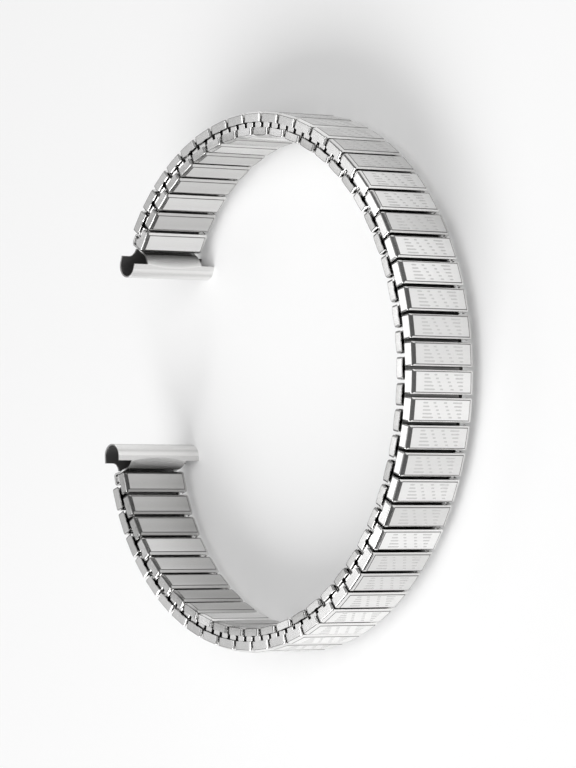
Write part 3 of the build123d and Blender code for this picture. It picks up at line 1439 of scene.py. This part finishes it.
@dataclass
class LinkKit:
    """One of each repeated form, with its finish already on it."""

    groups: GroupMaker
    row_low: float = 0.32
    cap_top: float = 1.547
    inner_face: float = -1.40
    half_width: float = 4.6
    sleeve_half: float = 4.0

    def __post_init__(self) -> None:
        """Make the forms and dress them."""
        self.cap = self._dressed(
            FoldedTray(
                name="ornamented_cap",
                half_length=1.39,
                half_width=self.half_width,
                face=self.cap_top,
                side=1,
                edge_run=0.22,
                edge_rise=0.18,
                end_run=0.52,
                end_rise=0.24,
                corner=0.24,
                sheet=0.13,
                flap_low=self.cap_top - self.row_low,
                side_depth=0.6,
                tube_half=self.sleeve_half,
                tube_depth=0.6,
                crown=0.012,
                turning=EngineTurning(),
            ).build(),
            POLISHED_CAP,
            CREASE_PAINTED_SHADE,
            SHADED_TURNED_GROOVE,
        )
        self.sleeve = self._dressed(
            FlatTube(
                name="cap_sleeve",
                half_length=1.27,
                low=self.row_low,
                high=1.40,
                half_width=self.sleeve_half,
                sheet=0.12,
            ).build(),
            SLEEVE_PAINTED_SHADE,
        )
        # The notch's edge has to lie deeper than the bevel, the crown, the fold and the start of
        # the wall together, 0.32 here, or the wall turns inside out.
        self.inner = self._dressed(
            FoldedTray(
                name="inner_link_sheet",
                half_length=1.28,
                half_width=self.half_width,
                face=self.inner_face,
                side=-1,
                edge_run=0.32,
                edge_rise=0.17,
                end_run=0.45,
                end_rise=0.2,
                corner=0.26,
                sheet=0.13,
                flap_low=-self.row_low - self.inner_face,
                side_depth=0.38,
                tube_half=self.sleeve_half,
                tube_depth=-self.row_low - self.inner_face,
                crown=0.06,
            ).build(),
            BRUSHED_LINK,
            CREASE_PAINTED_SHADE,
        )
        self.inner_wall = self._dressed(
            Plate(
                name="inner_link_wall",
                half_length=1.17,
                low=-0.45,
                high=-self.row_low,
                half_width=self.sleeve_half,
            ).build(),
            SLEEVE_PAINTED_SHADE,
        )
        self.bow = self._dressed(UBow().build(), BRIGHT_BOW)
        self.outer_spring = self._dressed(
            LeafSpring(name="outer_leaf_spring", base=1.27, side=1).build(), SPRING_LEAF
        )
        self.inner_spring = self._dressed(
            LeafSpring(name="inner_leaf_spring", base=-1.26, side=-1).build(), SPRING_LEAF
        )
        self.fittings = {
            arm: self._dressed(EndFitting(f"end_fitting_sheet_{arm.clock}", arm.value).build(), SATIN_HOOD)
            for arm in Arm
        }

    def _dressed(self, mesh: bpy.types.Mesh, *finishes: SteelFinish) -> bpy.types.Mesh:
        """Put one or more finishes on a mesh.

        Args:
            mesh: The mesh.
            finishes: Its finishes, in the order of its material slots.

        Returns:
            The same mesh.
        """
        for finish in finishes:
            mesh.materials.append(bpy.data.materials.get(finish.name) or finish.make(self.groups))
        return mesh


@dataclass
class Band:
    """The whole band, set out link by link along its curve."""

    curve: BandCurve
    kit: LinkKit
    height: float = 6.0
    stretch_links: int = 3
    made: list[bpy.types.Object] = field(default_factory=list)

    def _put(
        self, name: str, mesh: bpy.types.Mesh, place: Matrix, body: str
    ) -> bpy.types.Object:
        """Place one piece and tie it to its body.

        Args:
            name: Name of the piece.
            mesh: Its mesh, shared with its fellows.
            place: World matrix.
            body: Body that it rides on.

        Returns:
            The new object.
        """
        piece = bpy.data.objects.new(name, mesh)
        bpy.context.scene.collection.objects.link(piece)
        piece.matrix_world = place
        bpy.context.view_layer.update()
        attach(piece, body)
        self.made.append(piece)
        return piece

    def _bows(self, number: int, arm: Arm, body: str) -> list[bpy.types.Object]:
        """Place the upper and lower bow of the station before a link.

        Args:
            number: The link's number, in half pitches from the middle link.
            arm: The arm that it belongs to.
            body: Body that the pieces ride on.

        Returns:
            The new objects.
        """
        place = self.curve.station(number, arm).matrix(self.height)
        tag = f"{arm.clock}_{number:02d}"
        turned = place @ Matrix.Rotation(math.pi, 4, "Y")
        return [
            self._put(f"upper_bow_{tag}", self.kit.bow, place, body),
            self._put(f"lower_bow_{tag}", self.kit.bow, turned, body),
        ]

    def _inner(self, number: int, arm: Arm, body: str) -> list[bpy.types.Object]:
        """Place an inner link with its closing wall and leaf spring.

        Args:
            number: The link's number, in half pitches from the middle link.
            arm: The arm that it belongs to.
            body: Body that the pieces ride on.

        Returns:
            The new objects.
        """
        place = self.curve.link(number, arm).matrix(self.height)
        tag = f"{arm.clock}_{number:02d}"
        return [
            self._put(f"inner_link_{tag}", self.kit.inner, place, body),
            self._put(f"inner_wall_{tag}", self.kit.inner_wall, place, body),
            self._put(f"inner_leaf_{tag}", self.kit.inner_spring, place, body),
        ]

    def _capped(self, number: int, arm: Arm, body: str) -> list[bpy.types.Object]:
        """Place a capped link: cap, sleeve and leaf spring.

        Args:
            number: The link's number, in half pitches from the middle link.
            arm: The arm that it belongs to.
            body: Body that the pieces ride on.

        Returns:
            The new objects.
        """
        place = self.curve.link(number, arm).matrix(self.height)
        tag = f"{arm.clock}_{number:02d}"
        return [
            self._put(f"cap_{tag}", self.kit.cap, place, body),
            self._put(f"cap_sleeve_{tag}", self.kit.sleeve, place, body),
            self._put(f"cap_leaf_{tag}", self.kit.outer_spring, place, body),
        ]

    def middle(self) -> None:
        """Build the middle link, which the rest hangs from."""
        cap, sleeve, _ = self._capped(0, Arm.SIX, "middle_link")
        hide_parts("middle_cap")
        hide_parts("middle_sleeve")
        LOG.info("middle link: cap, sleeve and leaf spring")

    def arm(self, arm: Arm) -> None:
        """Build one arm from the middle link out to its last inner link.

        Args:
            arm: Which arm.
        """
        for count in range(1, self.curve.side_links + 1):
            number = 2 * count
            body = f"link_pair_{arm.clock}_{count:02d}"
            inner = self._inner(number - 1, arm, body)
            self._bows(number, arm, body)
            self._capped(number, arm, body)
            if count > self.curve.side_links - self.stretch_links:
                pair = f"bow_pair_{arm.clock}_{count:02d}"
                bows = self._bows(number - 1, arm, pair)
                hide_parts(pair)
            else:
                self._bows(number - 1, arm, body)
            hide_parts(body)
            LOG.info("link pair %s: cap, sleeve, inner link, springs and bows", body)
        body = f"end_inner_link_{arm.clock}"
        last = self._inner(self.curve.last - 1, arm, body)
        self._bows(self.curve.last - 1, arm, body)
        self._bows(self.curve.last, arm, body)
        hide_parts(body)
        LOG.info("end inner link %s", body)

    def fittings(self) -> None:
        """Place the two end fittings."""
        for arm in Arm:
            mesh = self.kit.fittings[arm]
            mesh.transform(self.curve.link(self.curve.last, arm).matrix(self.height))
            node = f"end_fitting_{arm.clock}"
            sheet = self._put(f"hooded_end_{arm.clock}", mesh, Matrix.Identity(4), node)
            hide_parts(node)
            LOG.info("end fitting %s: hood, creased tongue and curled tab", arm.clock)


# The studio.


@dataclass
class Studio:
    """Pale floor, soft lamps, and the camera at the photograph's angle."""

    camera_place: Point = (477.447, 45.80, 402.09)
    camera_turn: tuple[float, float, float] = (50.37, -4.22, 4.67)
    lens_pixels: float = 5394.0
    frame_high: float = 768.0
    sensor: float = 24.0
    sight: tuple[float, float] = (0.01, 5.0)
    floor_half: float = 3.0
    floor_tone: float = 0.88
    floor_glow: float = 0.14
    room_tones: tuple[tuple[float, float], ...] = (
        (0.0, 0.10),
        (0.2, 0.12),
        (0.52, 0.30),
        (0.6, 0.62),
        (0.68, 0.62),
        (0.76, 0.30),
        (1.0, 0.25),
    )

    def camera(self) -> None:
        """Create the camera and make it the scene's."""
        data = bpy.data.cameras.new("camera")
        data.sensor_fit = "VERTICAL"
        data.sensor_height = self.sensor
        data.lens = self.sensor * self.lens_pixels / self.frame_high
        data.clip_start, data.clip_end = self.sight
        eye = bpy.data.objects.new("camera", data)
        bpy.context.scene.collection.objects.link(eye)
        about_y, about_x, about_z = (math.radians(value) for value in self.camera_turn)
        turn = Matrix.Rotation(about_y, 4, "Y") @ Matrix.Rotation(about_x, 4, "X")
        turn = turn @ Matrix.Rotation(about_z, 4, "Z")
        x, y, z = self.camera_place
        eye.matrix_world = Matrix.Translation((x * MM, y * MM, z * MM)) @ turn
        bpy.context.scene.camera = eye

    def floor(self) -> None:
        """Lay a wide pale floor that keeps the band's shadow."""
        half = self.floor_half
        mesh = bpy.data.meshes.new("floor")
        corners = [(-half, -half, 0), (half, -half, 0), (half, half, 0), (-half, half, 0)]
        mesh.from_pydata(corners, [], [[0, 1, 2, 3]])
        floor = bpy.data.objects.new("floor", mesh)
        bpy.context.scene.collection.objects.link(floor)
        material = bpy.data.materials.new("pale_floor")
        material.use_nodes = True
        tree = material.node_tree
        tree.nodes.clear()
        out = tree.nodes.new("ShaderNodeOutputMaterial")
        paint = add_node(tree, "ShaderNodeBsdfDiffuse", {"Color": (*[self.floor_tone] * 3, 1.0)})
        glow = add_node(tree, "ShaderNodeEmission", {"Color": (1.0, 1.0, 1.0, 1.0), "Strength": 1.0})
        rays = tree.nodes.new("ShaderNodeLightPath").outputs
        seen = rays["Is Camera Ray"]
        for label in ("Is Glossy Ray", "Is Transmission Ray"):
            seen = add_math(tree, "MAXIMUM", seen, rays[label])
        mix = tree.nodes.new("ShaderNodeMixShader")
        tree.links.new(add_math(tree, "MULTIPLY", seen, self.floor_glow), mix.inputs["Fac"])
        tree.links.new(paint.outputs[0], mix.inputs[1])
        tree.links.new(glow.outputs[0], mix.inputs[2])
        tree.links.new(mix.outputs[0], out.inputs["Surface"])
        mesh.materials.append(material)

    def world(self) -> None:
        """Surround the band with a soft room, dark at the horizon and pale overhead."""
        world = bpy.data.worlds.new("studio")
        world.use_nodes = True
        bpy.context.scene.world = world
        tree = world.node_tree
        tree.nodes.clear()
        out = tree.nodes.new("ShaderNodeOutputWorld")
        place = tree.nodes.new("ShaderNodeTexCoord")
        parts = add_node(tree, "ShaderNodeSeparateXYZ", {"Vector": place.outputs["Generated"]})
        ramp = add_node(tree, "ShaderNodeValToRGB", {"Fac": parts.outputs["Z"]})
        room = add_node(tree, "ShaderNodeBackground", {"Color": ramp.outputs["Color"]})
        steps = ramp.color_ramp.elements
        steps[0].position, steps[0].color = self.room_tones[0][0], (*[self.room_tones[0][1]] * 3, 1)
        steps[1].position, steps[1].color = self.room_tones[-1][0], (*[self.room_tones[-1][1]] * 3, 1)
        for position, tone in self.room_tones[1:-1]:
            steps.new(position).color = (tone, tone, tone, 1)
        tree.links.new(room.outputs[0], out.inputs["Surface"])

    def lamp(self, name: str, place: Point, size: tuple[float, float], power: float) -> None:
        """Hang a soft rectangular lamp that faces the middle of the band.

        Args:
            name: Name of the lamp.
            place: Where it hangs, in metres.
            size: Width and height in metres.
            power: Watts.
        """
        data = bpy.data.lights.new(name, "AREA")
        data.shape = "RECTANGLE"
        data.size, data.size_y = size
        data.energy = power
        lamp = bpy.data.objects.new(name, data)
        bpy.context.scene.collection.objects.link(lamp)
        lamp.location = place
        lamp.rotation_euler = (-Vector(place)).to_track_quat("-Z", "Y").to_euler()

    def build(self) -> None:
        """Set up the whole studio."""
        self.camera()
        self.floor()
        self.world()
        self.lamp("overhead softbox", place=(0.22, 0.08, 0.55), size=(0.4, 0.4), power=1.25)
        self.lamp("key softbox", place=(0.17, -0.75, 0.6), size=(0.7, 0.7), power=7.9)
        self.lamp("flap softbox", place=(-0.40, -0.05, 0.47), size=(0.26, 0.16), power=0.14)
        bpy.context.scene.view_settings.view_transform = "Standard"
        LOG.info("studio: camera, floor, room and three soft lamps")


def main() -> None:
    """Build the band and its studio."""
    logging.basicConfig(level=logging.INFO, format="%(name)s: %(message)s")
    Studio().build()
    band = Band(BandCurve(), LinkKit(GroupMaker()))
    band.middle()
    for arm in Arm:
        band.arm(arm)
    band.fittings()
    LOG.info("%d detailed pieces", len(band.made))


if __name__ == "__main__":
    main()
